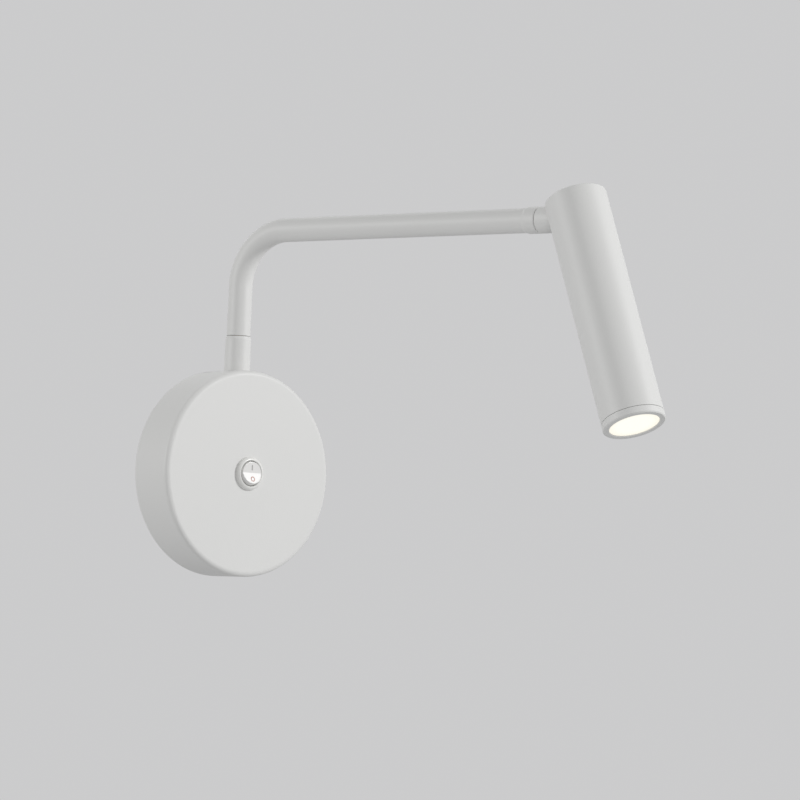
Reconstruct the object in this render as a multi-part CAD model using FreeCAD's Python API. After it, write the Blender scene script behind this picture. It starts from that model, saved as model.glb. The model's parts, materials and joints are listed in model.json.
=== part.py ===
"""Bedside wall reading lamp: a round wall base with a rocker switch, a bent arm that swivels on a post,
and a tube spot head on a joint that rolls about the arm and tilts on a pin.

Millimetres. X runs along the wall to the right, Y runs into the wall, Z is up. The origin is the point of the
wall face on the axis of the round base, and the lamp stands out of the wall towards -Y. Each piece is built
with the arm straight out and the head hanging square to it, then turned to the pose that the lamp is kept in.
"""
import FreeCAD, Part
import math
import os
from FreeCAD import Vector

# ---- wall base ----
base_diameter = 104.0
base_depth = 26.0
base_wall = 1.5
base_edge_radius = 2.5
bracket_thickness = 1.5
bracket_gap = 2.6             # from the bracket plate's rim to the cup's inner wall
cable_entry_diameter = 26.0
wall_slot_spacing = 60.0
wall_slot_width = 4.6
wall_slot_length = 12.0
tab_width = 12.0
tab_depth = 12.0
upper_tab_angle = 38.0        # the two upper tabs, either side of straight up, measured from the horizontal
pip_diameter = 3.0
pip_reach = 2.2               # how far a pip stands in from the cup's inner wall
pip_clearance = 0.2
set_screw_diameter = 4.0
set_screw_length = 7.0
set_screw_socket = 2.0        # across flats, and as deep
tab_gap = 1.0                 # between a bracket tab and the cup's wall
bracket_notch_radius = 16.0
bracket_notch_outset = 6.0    # from the plate's rim out to the notch's centre
bracket_notch_drop = 0.62     # of the plate's radius, below the base's axis
rear_edge_chamfer = 0.4
edge_break = 0.3              # small chamfers and rounds on turned pieces

# ---- post and arm ----
post_inset = 12.5             # from the wall to the post's axis
post_diameter = 13.0
post_seam_height = 69.6       # above the base's axis
post_bevel = 1.5
shank_diameter = 10.0
spindle_bore = 3.6
spindle_root_length = 13.5    # of the spindle's upper end, fixed inside the arm's foot
shank_length = 7.0            # of the post's shank, inside the cup
spindle_overhang = 6.5        # of the spindle, below the post's shank
post_washer_diameter = 16.0
post_nut_flats = 13.0
post_nut_height = 4.0
washer_thickness = 1.0
swivel_washer_diameter = 11.2
swivel_nut_flats = 11.0
swivel_nut_height = 3.6
tube_diameter = 12.0
tube_wall = 1.0
spindle_margin = 1.5          # from a spindle to the tube's bore
spindle_diameter = tube_diameter - 2 * (tube_wall + spindle_margin)
bend_radius = 28.0
arm_height = 123.0
arm_reach = 205.0             # from the post's axis to the tilt pin
seam_gap = 0.25

# ---- joint and head ----
joint_diameter = 13.0
sleeve_length = 7.5
sleeve_bevel = 1.6
sleeve_spigot = 9.0           # of the sleeve, inside the arm's tip
roll_washer_thickness = 0.9
roll_washer_rim = 0.6         # from the washer's rim to the tube's bore
roll_nut_length = 4.5
roll_nut_rim = 0.5            # from the nut's rim to the tube's bore
roll_spindle_overhang = 1.5
roll_seam_to_pin = 23.0
knuckle_width = 10.0
knuckle_radius = 6.1
knuckle_length = 7.5          # from the tilt pin to where the barrel is round again
tilt_pin_diameter = 4.0
tilt_pin_head_diameter = 6.4
tilt_pin_head_height = 2.0
tilt_nut_flats = 5.8
tilt_nut_height = 1.8
tilt_washer_diameter = 10.4
cheek_thickness = 3.2         # of a yoke cheek, under the pin's head
driver_slot = 0.9             # across the pin's head
counterbore_diameter = 7.2
slot_clearance = 0.35
head_diameter = 30.0
head_wall = 1.5
head_length = 120.0
pin_below_top = 11.0
yoke_length = 24.0
yoke_recess = 0.6
yoke_top_chamfer = 0.5
yoke_screw_diameter = 3.0
yoke_screw_length = 3.0
yoke_screw_socket = 1.5
yoke_screw_rise = 4.0         # above the yoke's lower end
ring_band = 3.5
ring_chamfer = 0.5
reflector_wall = 1.0
reflector_flange = 1.4
lens_diameter = 24.8
lens_thickness = 2.0
lens_recess = 0.6
lens_lip = 0.4                # of the ring, over the lens's edge
skirt_length = 5.0
skirt_wall = 1.0
board_diameter = 20.0
board_thickness = 1.6
board_depth = 17.0            # from the head's mouth to the board's face
emitter_width = 4.0
emitter_height = 0.8
heat_sink_length = 22.0
heat_sink_foot = 6.0
heat_sink_core_diameter = 10.0
fin_thickness = 1.2
fin_count = 12

# ---- switch ----
panel_hole_diameter = 15.0
bezel_diameter = 16.8
bezel_height = 2.2
switch_depth = 13.0
rocker_radius = 6.2
rocker_clearance = 0.3
rocker_half_swing = 8.0       # degrees either side of level
rocker_rise = 2.6             # the rocker's valley above the base's face
rocker_axis_rise = 0.6        # the rocker's pivot above the base's face
rocker_depth = 3.2            # below its pivot
rocker_stub_diameter = 1.7
rocker_stub_reach = 7.0
rocker_well_depth = 6.6
blade_width = 4.8
blade_thickness = 0.8
blade_reach = 7.0             # of a blade, behind the switch's body
blade_eye_diameter = 1.8
blade_spacing = 8.0
lug_width = 4.0
lug_length = 6.0
lug_reach = 0.8               # of a snap lug, beyond the panel hole

# ---- cables ----
led_cable_diameter = 3.2
cable_bend = 2.6              # inside the joint barrel
cable_drop = 4.6              # out of the barrel, below the arm's axis
cable_break = 0.3             # between the lengths of cable of two pieces that turn
conductor_depth = 4.0         # of a lead, inside the terminal block
blade_lap = 1.0               # of a lead, along a switch blade
lead_diameter = 2.2

# ---- clearances ----
thread_clearance = 0.05
press_clearance = 0.02
plug_clearance = 0.05
running_clearance = 0.06
seat_clearance = 0.1

# ---- the pose that the lamp is kept in, degrees ----
rest_swing = 12.7             # arm, from straight out, towards +X
rest_roll = 7.4               # head, about the arm, its lower end towards -X
rest_tilt = 23.2              # head, its lower end outwards from square to the arm

X = Vector(1, 0, 0)
Y = Vector(0, 1, 0)
Z = Vector(0, 0, 1)
OUT = Vector(0, -1, 0)        # away from the wall
EPS = 0.5                     # how far a cutting tool runs past a face

base_radius = base_diameter / 2
cup_inner_radius = base_radius - base_wall
bracket_radius = cup_inner_radius - bracket_gap
face_y = -base_depth
inner_face_y = face_y + base_wall
pin_y = -(post_inset + arm_reach)
roll_seam_y = pin_y + roll_seam_to_pin
sleeve_start_y = roll_seam_y + sleeve_length
tube_bore = tube_diameter - 2 * tube_wall
head_top_z = arm_height + pin_below_top
head_bottom_z = head_top_z - head_length
head_bore = head_diameter - 2 * head_wall
ring_seam_z = head_bottom_z + ring_band


def cylinder(radius, start, end):
    """A solid cylinder from one point to another."""
    axis = end.sub(start)
    return Part.makeCylinder(radius, axis.Length, start, axis)


def pipe(outer, inner, start, end):
    """A straight tube from one point to another."""
    axis = end.sub(start)
    unit = Vector(axis).normalize()
    hole = cylinder(inner, start.sub(unit * EPS), end.add(unit * EPS))
    return cylinder(outer, start, end).cut(hole)


def box(low, high):
    return Part.makeBox(high[0] - low[0], high[1] - low[1], high[2] - low[2], Vector(*low))


def turned(profile, centre, axis):
    """Revolves a profile of (radius, distance along the axis) points about an axis through centre."""
    points = [Vector(r, 0, d) for r, d in profile]
    solid = Part.Face(Part.makePolygon(points + points[:1])).revolve(Vector(0, 0, 0), Z, 360)
    solid.Placement = FreeCAD.Placement(centre, FreeCAD.Rotation(Z, axis))
    return solid


def hex_prism(across_flats, start, axis, height):
    """A plain hexagonal prism, for nuts and sockets."""
    corner = across_flats / math.sqrt(3)
    corners = [Vector(corner * math.cos(math.radians(a)), corner * math.sin(math.radians(a)), 0)
               for a in range(0, 360, 60)]
    prism = Part.Face(Part.makePolygon(corners + corners[:1])).extrude(Vector(0, 0, height))
    prism.Placement = FreeCAD.Placement(start, FreeCAD.Rotation(Z, axis))
    return prism


def hex_nut(across_flats, bore, start, axis, height):
    """A hexagonal nut whose near face is at start, its corners chamfered by turning."""
    corner = across_flats / math.sqrt(3)
    envelope = turned([(0, 0), (corner - 0.6, 0), (corner, 0.4), (corner, height - 0.4),
                       (corner - 0.6, height), (0, height)], start, axis)
    unit = Vector(axis).normalize()
    hole = cylinder(bore / 2, start.sub(unit * EPS), start.add(unit * (height + EPS)))
    return hex_prism(across_flats, start, axis, height).common(envelope).cut(hole)


def fuse(shapes):
    shapes = list(shapes)
    return shapes[0].fuse(shapes[1:]).removeSplitter() if len(shapes) > 1 else shapes[0]


def turn_about_axis(shape, angle):
    """A copy turned about the base's axis."""
    copy = shape.copy()
    copy.rotate(Vector(0, 0, 0), Y, angle)
    return copy


def rounded_route(points, radius_of):
    """Straight runs joined by tangent arcs, as one wire."""
    edges = []
    here = points[0]
    for i in range(1, len(points) - 1):
        corner = points[i]
        before = points[i - 1].sub(corner)
        after = points[i + 1].sub(corner)
        angle = before.getAngle(after)
        radius = radius_of(i, before.Length, after.Length, angle)
        setback = radius / math.tan(angle / 2)
        first = corner.add(Vector(before).normalize() * setback)
        last = corner.add(Vector(after).normalize() * setback)
        bisector = Vector(before).normalize().add(Vector(after).normalize()).normalize()
        centre = corner.add(bisector * (radius / math.sin(angle / 2)))
        middle = centre.sub(bisector * radius)
        edges.append(Part.LineSegment(here, first).toShape())
        edges.append(Part.Arc(first, middle, last).toShape())
        here = last
    edges.append(Part.LineSegment(here, points[-1]).toShape())
    return Part.Wire(edges)


def swept_tube(route, diameter, bore=0.0):
    """A round section swept along a wire of lines and arcs."""
    start = route.OrderedVertexes[0].Point
    direction = route.OrderedEdges[0].tangentAt(route.OrderedEdges[0].FirstParameter)
    rim = Part.Wire(Part.makeCircle(diameter / 2, start, direction))
    solid = route.makePipeShell([rim], True, False)
    if bore:
        inner = Part.Wire(Part.makeCircle(bore / 2, start, direction))
        solid = solid.cut(route.makePipeShell([inner], True, False))
    return solid


def lead(points, diameter):
    """An insulated lead whose bends are as large as its runs allow."""
    def radius_of(_, before, after, angle):
        turn = math.pi - angle
        return 0.45 * min(before, after) / math.tan(turn / 2)
    return swept_tube(rounded_route(points, radius_of), diameter)


# ------------------------------------------------------------------ wall base

def tab(angle):
    """A bracket tab bent forward at an angle round the base's axis, 0 along +X, before its hole."""
    outer = bracket_radius + bracket_gap - tab_gap
    ring = pipe(outer, outer - bracket_thickness, Vector(0, 0, 0), Vector(0, -tab_depth, 0))
    web = box((0, -bracket_thickness, -tab_width / 2), (outer, 0, tab_width / 2))
    web = web.common(cylinder(outer, Vector(0, 0, 0), Vector(0, -bracket_thickness, 0)))
    strip = ring.common(box((0, -tab_depth, -tab_width / 2), (base_radius, 0, tab_width / 2)))
    inside = cylinder(bracket_radius - 2 * bracket_thickness, Vector(0, EPS, 0), Vector(0, -tab_depth, 0))
    return turn_about_axis(strip.fuse(web.cut(inside)), -angle)


def tab_hole_axis(angle):
    """Start and end of a radial line through a tab at mid depth."""
    radians = math.radians(angle)
    radial = Vector(math.cos(radians), 0, math.sin(radians))
    middle = Vector(0, -tab_depth / 2 - bracket_thickness / 2, 0)
    return middle.add(radial * (cup_inner_radius - 8)), middle.add(radial * (base_radius + EPS)), radial


UPPER_TABS = (upper_tab_angle, 180 - upper_tab_angle)
LOWER_TAB = 270


def wall_bracket():
    """Pressed steel plate with two wall-screw slots, a cable hole and three tabs bent forward."""
    plate = cylinder(bracket_radius, Vector(0, 0, 0), Vector(0, -bracket_thickness, 0))
    for side in (-1, 1):
        x = side * (bracket_radius + bracket_notch_outset)
        z = -bracket_radius * bracket_notch_drop
        plate = plate.cut(cylinder(bracket_notch_radius, Vector(x, EPS, z), Vector(x, -bracket_thickness - EPS, z)))
    plate = fuse([plate] + [tab(angle) for angle in (*UPPER_TABS, LOWER_TAB)])
    through = (Vector(0, EPS, 0), Vector(0, -bracket_thickness - EPS, 0))
    plate = plate.cut(cylinder(cable_entry_diameter / 2, *through))
    half = (wall_slot_length - wall_slot_width) / 2
    for side in (-1, 1):
        centre = side * wall_slot_spacing / 2
        for end in (-half, half):
            x = centre + end
            plate = plate.cut(cylinder(wall_slot_width / 2, Vector(x, EPS, 0), Vector(x, -bracket_thickness - EPS, 0)))
        plate = plate.cut(box((centre - half, -bracket_thickness - EPS, -wall_slot_width / 2),
                              (centre + half, EPS, wall_slot_width / 2)))
    for angle in UPPER_TABS:
        start, end, _ = tab_hole_axis(angle)
        plate = plate.cut(cylinder(pip_diameter / 2 + pip_clearance, start, end))
    start, end, _ = tab_hole_axis(LOWER_TAB)
    plate = plate.cut(cylinder(set_screw_diameter / 2 + thread_clearance, start, end))
    for x, z, radius in (EARTH_PLACE, BLOCK_SCREW_PLACE):
        plate = plate.cut(cylinder(radius + thread_clearance, Vector(x, EPS, z),
                                   Vector(x, -bracket_thickness - EPS, z)))
    return plate


def base_cup():
    """Spun steel cup, open to the wall, with holes for the switch, the post and the set screw."""
    solid = cylinder(base_radius, Vector(0, 0, 0), Vector(0, face_y, 0))
    front = [e for e in solid.Edges if abs(e.CenterOfMass.y - face_y) < 1e-6 and e.Length > 1]
    solid = solid.makeFillet(base_edge_radius, front)
    hollow = cylinder(cup_inner_radius, Vector(0, EPS, 0), Vector(0, inner_face_y, 0))
    inner_edges = [e for e in hollow.Edges if abs(e.CenterOfMass.y - inner_face_y) < 1e-6]
    hollow = hollow.makeChamfer(max(base_edge_radius - base_wall, edge_break), inner_edges)
    solid = solid.cut(hollow)
    rear = [e for e in solid.Edges if abs(e.CenterOfMass.y) < 1e-6 and e.Length > math.pi * base_diameter - 1]
    solid = solid.makeChamfer(rear_edge_chamfer, rear)
    solid = solid.cut(cylinder(panel_hole_diameter / 2, Vector(0, face_y - EPS, 0),
                               Vector(0, inner_face_y + EPS, 0)))
    solid = solid.cut(cylinder(shank_diameter / 2 + seat_clearance,
                               Vector(0, -post_inset, cup_inner_radius - 2 * base_wall),
                               Vector(0, -post_inset, base_radius + EPS)))
    start, end, radial = tab_hole_axis(LOWER_TAB)
    solid = solid.cut(cylinder(set_screw_diameter / 2 + seat_clearance, start, end))
    pips = []
    for angle in UPPER_TABS:
        start, end, radial = tab_hole_axis(angle)
        outer = end.sub(radial * (EPS + base_wall / 2))
        pips.append(cylinder(pip_diameter / 2, outer.sub(radial * (base_wall / 2 + pip_reach)), outer))
    return fuse([solid] + pips)


def base_set_screw():
    """Grub screw through the cup into the lower tab, with a hexagon socket."""
    start, end, radial = tab_hole_axis(LOWER_TAB)
    outer = end.sub(radial * (EPS + edge_break))
    body = cylinder(set_screw_diameter / 2, outer.sub(radial * set_screw_length), outer)
    return body.cut(hex_prism(set_screw_socket, outer.sub(radial * set_screw_socket), radial, set_screw_socket + EPS))


# ------------------------------------------------------------------ wiring in the base

block_low = (-36.0, -14.5, 17.0)
block_high = (-12.0, -bracket_thickness, 31.0)
BLOCK_SCREW_PLACE = ((block_low[0] + block_high[0]) / 2, (block_low[2] + block_high[2]) / 2, 1.25)
EARTH_PLACE = (26.0, 22.0, 2.0)
POLE_PITCH = 8.0
block_foot = 3.0
pole_half = 3.9
pole_well = 3.8
pole_screw_offset = 3.6
POLES = [BLOCK_SCREW_PLACE[0] + POLE_PITCH * i for i in (-1, 1)]
pole_bore = 3.4
pole_depth_y = (block_low[1] + block_high[1]) / 2
pole_barrel = 5.2
barrel_recess = 1.0


def terminal_block():
    """Two-pole screw terminal block: a foot, and for each pole a box with a barrel hole and two screw wells."""
    middle_z = (block_low[2] + block_high[2]) / 2
    body = [box((block_low[0], block_high[1] - block_foot, block_low[2]), block_high)]
    for x in POLES:
        body.append(box((x - pole_half, block_low[1], block_low[2]),
                        (x + pole_half, block_high[1], block_high[2])))
    solid = fuse(body)
    for x in POLES:
        solid = solid.cut(cylinder(pole_barrel / 2, Vector(x, pole_depth_y, block_low[2] - EPS),
                                   Vector(x, pole_depth_y, block_high[2] + EPS)))
        for z in (middle_z - pole_screw_offset, middle_z + pole_screw_offset):
            solid = solid.cut(cylinder(pole_well / 2, Vector(x, block_low[1] - EPS, z),
                                       Vector(x, pole_depth_y, z)))
    x, z, radius = BLOCK_SCREW_PLACE
    return solid.cut(cylinder(radius + slot_clearance, Vector(x, block_low[1] - EPS, z), Vector(x, EPS, z)))


def terminal_inserts():
    """The brass barrels that the conductors go into."""
    low = block_low[2] + barrel_recess
    high = block_high[2] - barrel_recess
    radius = pole_barrel / 2 - thread_clearance
    return Part.makeCompound([pipe(radius, pole_bore / 2, Vector(x, pole_depth_y, low),
                                   Vector(x, pole_depth_y, high)) for x in POLES])


driver_low = (-24.0, inner_face_y + 1.0, -41.0)
driver_high = (24.0, -6.0, -19.0)
driver_corner = 2.0
driver_entry_y = -11.0
entry_depth = 3.0
lid_thickness = 1.6
lid_notch_radius = 2.5
pad_margin = 3.0
neutral_entry_x = -20.0
switched_entry_x = -13.0
led_entry_x = 18.0
DRIVER_ENTRIES = ((neutral_entry_x, lead_diameter), (switched_entry_x, lead_diameter),
                  (led_entry_x, led_cable_diameter))


def driver_pad():
    """Foam adhesive pad between the driver and the cup's face."""
    return box((driver_low[0] + pad_margin, inner_face_y, driver_low[2] + pad_margin),
               (driver_high[0] - pad_margin, driver_low[1], driver_high[2] - pad_margin))


def driver_case():
    """Sealed driver case with three blind lead entries in its upper wall."""
    solid = rounded_case(driver_low, (driver_high[0], driver_high[1] - lid_thickness, driver_high[2]))
    for x, diameter in DRIVER_ENTRIES:
        start = Vector(x, driver_entry_y, driver_high[2] - entry_depth)
        end = Vector(x, driver_entry_y, driver_high[2] + EPS)
        solid = solid.cut(cylinder(diameter / 2 + seat_clearance, start, end))
    return solid


def rounded_case(low, high):
    """A box whose four edges along Y are rounded."""
    blank = box(low, high)
    upright = [e for e in blank.Edges if abs(e.tangentAt(e.FirstParameter).y) > 0.99]
    return blank.makeFillet(driver_corner, upright)


def driver_lid():
    """Lid pressed into the open side of the driver case, with a thumbnail notch at each end."""
    low_y = driver_high[1] - lid_thickness
    plate = rounded_case((driver_low[0], low_y, driver_low[2]), driver_high)
    middle_z = (driver_low[2] + driver_high[2]) / 2
    for x in (driver_low[0], driver_high[0]):
        plate = plate.cut(cylinder(lid_notch_radius, Vector(x, low_y - EPS, middle_z),
                                   Vector(x, driver_high[1] + EPS, middle_z)))
    return plate


# ------------------------------------------------------------------ switch

rocker_axis_y = face_y - rocker_axis_rise


def switch_body():
    """Round snap-in rocker housing: a domed flange, a barrel with two snap lugs and a well for the rocker."""
    well = rocker_radius + rocker_clearance
    flange = bezel_diameter / 2
    depth = switch_depth
    profile = [(0, depth), (panel_hole_diameter / 2 - seat_clearance, depth),
               (panel_hole_diameter / 2 - seat_clearance, 0), (flange, 0), (flange, -0.9),
               (flange - 0.35, -1.5), (flange - 1.0, -bezel_height + 0.15), (flange - 1.5, -bezel_height),
               (well + edge_break, -bezel_height), (well, edge_break - bezel_height), (well, rocker_well_depth),
               (0, rocker_well_depth)]
    body = turned(profile, Vector(0, face_y, 0), Y)
    lugs = []
    near = face_y + base_wall + seat_clearance
    root = panel_hole_diameter / 2 - 2 * lug_reach
    tip = panel_hole_diameter / 2 + lug_reach
    for side in (-1, 1):
        corners = [Vector(side * root, near, -lug_width / 2), Vector(side * tip, near, -lug_width / 2),
                   Vector(side * (root + lug_reach), near + lug_length, -lug_width / 2),
                   Vector(side * root, near + lug_length, -lug_width / 2)]
        wedge = Part.Face(Part.makePolygon(corners + corners[:1]))
        lugs.append(wedge.extrude(Vector(0, 0, lug_width)))
    body = fuse([body] + lugs)
    stub_end = rocker_stub_reach + slot_clearance
    body = body.cut(cylinder(rocker_stub_diameter / 2 + running_clearance, Vector(-stub_end, rocker_axis_y, 0),
                             Vector(stub_end, rocker_axis_y, 0)))
    half_width = blade_width / 2 + seat_clearance
    half_thickness = blade_thickness / 2 + seat_clearance
    for z in BLADE_HEIGHTS:
        body = body.cut(box((-half_width, face_y + rocker_well_depth - EPS, z - half_thickness),
                            (half_width, face_y + depth + EPS, z + half_thickness)))
    return body


BLADE_HEIGHTS = (-blade_spacing / 2, blade_spacing / 2)


def switch_terminals():
    """Two flat blades out of the back of the switch, each with a soldering eye."""
    blades = []
    end_y = face_y + switch_depth + blade_reach
    eye_y = end_y - blade_width / 2
    for z in BLADE_HEIGHTS:
        blade = box((-blade_width / 2, face_y + rocker_well_depth, z - blade_thickness / 2),
                    (blade_width / 2, end_y, z + blade_thickness / 2))
        blades.append(blade.cut(cylinder(blade_eye_diameter / 2, Vector(0, eye_y, z - blade_thickness),
                                         Vector(0, eye_y, z + blade_thickness))))
    return Part.makeCompound(blades)


def switch_rocker():
    """Round rocker with two flat halves that meet in a shallow valley, on two pivot stubs."""
    ball = Part.makeSphere(rocker_radius, Vector(0, rocker_axis_y, 0), X)
    valley_y = face_y - rocker_rise
    rise = math.tan(math.radians(rocker_half_swing))
    reach = rocker_radius + 1
    bottom_y = rocker_axis_y + rocker_depth
    outline = [Vector(0, valley_y, 0), Vector(0, valley_y - reach * rise, reach), Vector(0, bottom_y, reach),
               Vector(0, bottom_y, -reach), Vector(0, valley_y - reach * rise, -reach)]
    profile = Part.Face(Part.makePolygon(outline + outline[:1]))
    profile.translate(Vector(-reach, 0, 0))
    cap = ball.common(profile.extrude(Vector(2 * reach, 0, 0)))
    stubs = cylinder(rocker_stub_diameter / 2, Vector(-rocker_stub_reach, rocker_axis_y, 0),
                     Vector(rocker_stub_reach, rocker_axis_y, 0))
    rocker = fuse([cap, stubs])
    top = [e for e in rocker.Edges if e.CenterOfMass.y < valley_y and abs(e.CenterOfMass.z) > EPS
           and e.Length > rocker_radius]
    rocker = rocker.makeFillet(edge_break, top)
    rocker.rotate(Vector(0, rocker_axis_y, 0), X, -rocker_half_swing)
    return rocker


# ------------------------------------------------------------------ post and arm

shank_bottom_z = cup_inner_radius - shank_length
spindle_bottom_z = shank_bottom_z - spindle_overhang
# a flat washer touches the cup's curved inner wall along its front and rear edges
post_washer_top = math.sqrt(cup_inner_radius ** 2 - (post_washer_diameter / 2) ** 2) - thread_clearance


def post_collar():
    """Turned post: a collar that fits the cup's rim, above a threaded shank, bored for the spindle."""
    r = post_diameter / 2
    seam = post_seam_height
    profile = [(0, shank_bottom_z), (shank_diameter / 2, shank_bottom_z), (shank_diameter / 2, cup_inner_radius),
               (r, cup_inner_radius), (r, seam - post_bevel), (tube_diameter / 2, seam), (0, seam)]
    solid = turned(profile, Vector(0, -post_inset, 0), Z)
    cup = cylinder(base_radius, Vector(0, EPS, 0), Vector(0, face_y - EPS, 0))
    solid = solid.cut(cup.cut(cylinder(shank_diameter / 2, Vector(0, -post_inset, 0),
                                       Vector(0, -post_inset, seam))))
    return solid.cut(cylinder(spindle_diameter / 2 + running_clearance, Vector(0, -post_inset, 0),
                              Vector(0, -post_inset, seam + EPS)))


def post_washer():
    return pipe(post_washer_diameter / 2, shank_diameter / 2 + seat_clearance,
                Vector(0, -post_inset, post_washer_top - washer_thickness), Vector(0, -post_inset, post_washer_top))


def post_nut():
    foot = Vector(0, -post_inset, post_washer_top - washer_thickness - post_nut_height)
    return hex_nut(post_nut_flats, shank_diameter + 2 * thread_clearance, foot, Z, post_nut_height)


def arm_spindle():
    """Turned spindle fixed in the arm's foot; its long journal runs down through the post."""
    centre = Vector(0, -post_inset, 0)
    seam = post_seam_height + seam_gap
    journal = spindle_diameter / 2
    root = tube_bore / 2 - press_clearance
    profile = [(spindle_bore / 2, spindle_bottom_z), (journal - edge_break, spindle_bottom_z),
               (journal, spindle_bottom_z + edge_break), (journal, seam), (root, seam),
               (root, seam + spindle_root_length), (root - edge_break, seam + spindle_root_length + edge_break),
               (spindle_bore / 2, seam + spindle_root_length + edge_break)]
    return turned(profile, centre, Z)


def swivel_washer():
    """Sprung friction washer between the post's lower end and the swivel nut."""
    return pipe(swivel_washer_diameter / 2, spindle_diameter / 2 + seat_clearance,
                Vector(0, -post_inset, shank_bottom_z - washer_thickness),
                Vector(0, -post_inset, shank_bottom_z - running_clearance))


def swivel_nut():
    foot = Vector(0, -post_inset, shank_bottom_z - washer_thickness - running_clearance - swivel_nut_height)
    return hex_nut(swivel_nut_flats, spindle_diameter + 2 * thread_clearance, foot, Z, swivel_nut_height)


def arm_tube():
    """The bent arm: a short upright leg, one bend, and a long level leg."""
    foot = Vector(0, -post_inset, post_seam_height + seam_gap)
    corner = Vector(0, -post_inset, arm_height)
    tip = Vector(0, sleeve_start_y, arm_height)
    route = rounded_route([foot, corner, tip], lambda *_: bend_radius)
    return swept_tube(route, tube_diameter, tube_bore)


def arm_end_sleeve():
    """Turned sleeve in the arm's tip: a collar outside, a spigot inside, bored for the roll spindle."""
    r = joint_diameter / 2
    bore = spindle_diameter / 2 + running_clearance
    spigot = tube_bore / 2 - press_clearance
    profile = [(bore, -sleeve_spigot), (spigot, -sleeve_spigot), (spigot, 0), (tube_diameter / 2, 0),
               (r, sleeve_bevel), (r, sleeve_length - edge_break), (r - edge_break, sleeve_length),
               (bore, sleeve_length)]
    return turned(profile, Vector(0, sleeve_start_y, arm_height), OUT)


# ------------------------------------------------------------------ head joint

sleeve_end_y = sleeve_start_y + sleeve_spigot
roll_nut_start_y = sleeve_end_y + roll_washer_thickness
roll_spindle_end_y = roll_nut_start_y + roll_nut_length + roll_spindle_overhang
# the cable turns down behind the pin, inside the barrel
CABLE_OFFSET = tilt_pin_diameter / 2 + cheek_thickness - 0.6 + spindle_bore / 2


def joint_barrel():
    """Turned barrel with a roll spindle behind it and a flat, rounded knuckle in front, bored for the cable."""
    r = joint_diameter / 2
    start_y = roll_seam_y - seam_gap
    barrel = cylinder(r, Vector(0, start_y, arm_height), Vector(0, pin_y + knuckle_length, arm_height))
    rear = [e for e in barrel.Edges if abs(e.CenterOfMass.y - start_y) < 1e-6]
    barrel = barrel.makeChamfer(edge_break, rear)
    half = knuckle_width / 2
    cheek_end = pin_y + knuckle_length
    round_end = cylinder(knuckle_radius, Vector(-half, pin_y, arm_height), Vector(half, pin_y, arm_height))
    tongue = box((-half, pin_y, arm_height - knuckle_radius),
                 (half, cheek_end + EPS, arm_height + knuckle_radius))
    within = cylinder(r, Vector(0, pin_y - r, arm_height), Vector(0, cheek_end + 2 * EPS, arm_height))
    tongue = fuse([tongue, round_end]).common(within)
    solid = barrel.fuse(tongue).removeSplitter()
    spindle = cylinder(spindle_diameter / 2, Vector(0, start_y - EPS, arm_height),
                       Vector(0, roll_spindle_end_y, arm_height))
    solid = solid.fuse(spindle).removeSplitter()
    solid = solid.cut(cylinder(tilt_pin_diameter / 2 + running_clearance, Vector(-r, pin_y, arm_height),
                               Vector(r, pin_y, arm_height)))
    drop_y = pin_y + CABLE_OFFSET
    solid = solid.cut(cylinder(spindle_bore / 2, Vector(0, roll_spindle_end_y + EPS, arm_height),
                               Vector(0, drop_y - spindle_bore / 2, arm_height)))
    return solid.cut(cylinder(spindle_bore / 2 + 2 * seat_clearance, Vector(0, drop_y, arm_height),
                              Vector(0, drop_y, arm_height - r - EPS)))


def roll_washer():
    return pipe(tube_bore / 2 - roll_washer_rim, spindle_diameter / 2 + seat_clearance,
                Vector(0, sleeve_end_y + running_clearance, arm_height), Vector(0, roll_nut_start_y, arm_height))


def roll_nut():
    return pipe(tube_bore / 2 - roll_nut_rim, spindle_diameter / 2 + thread_clearance,
                Vector(0, roll_nut_start_y, arm_height), Vector(0, roll_nut_start_y + roll_nut_length, arm_height))


# ------------------------------------------------------------------ head

slot_half = joint_diameter / 2 + slot_clearance


def joint_slot(top_z):
    """The space that the barrel swings through: a round-bottomed slot open behind and on top."""
    back = Vector(0, pin_y + head_diameter, arm_height)
    bottom = cylinder(slot_half, Vector(-slot_half, pin_y, arm_height), Vector(slot_half, pin_y, arm_height))
    trough = box((-slot_half, pin_y, arm_height - slot_half), (slot_half, back.y, arm_height))
    above = box((-slot_half, pin_y - slot_half, arm_height), (slot_half, back.y, top_z))
    return fuse([bottom, trough, above])


def head_tube():
    """Aluminium tube with the joint slot at its upper end and a threaded mouth below."""
    tube = pipe(head_diameter / 2, head_bore / 2, Vector(0, pin_y, ring_seam_z + seam_gap),
                Vector(0, pin_y, head_top_z))
    rims = [e for e in tube.Edges if e.Length > 0.9 * math.pi * head_diameter
            and abs(e.CenterOfMass.z - head_top_z) < 1e-6]
    tube = tube.makeChamfer(rear_edge_chamfer, rims)
    trough = cylinder(slot_half, Vector(0, pin_y, arm_height), Vector(0, pin_y + head_diameter, arm_height))
    above = box((-slot_half, pin_y, arm_height), (slot_half, pin_y + head_diameter, head_top_z + EPS))
    start, end = YOKE_SCREW
    return tube.cut(trough).cut(above).cut(cylinder(yoke_screw_diameter / 2 + seat_clearance, start, end))


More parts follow.
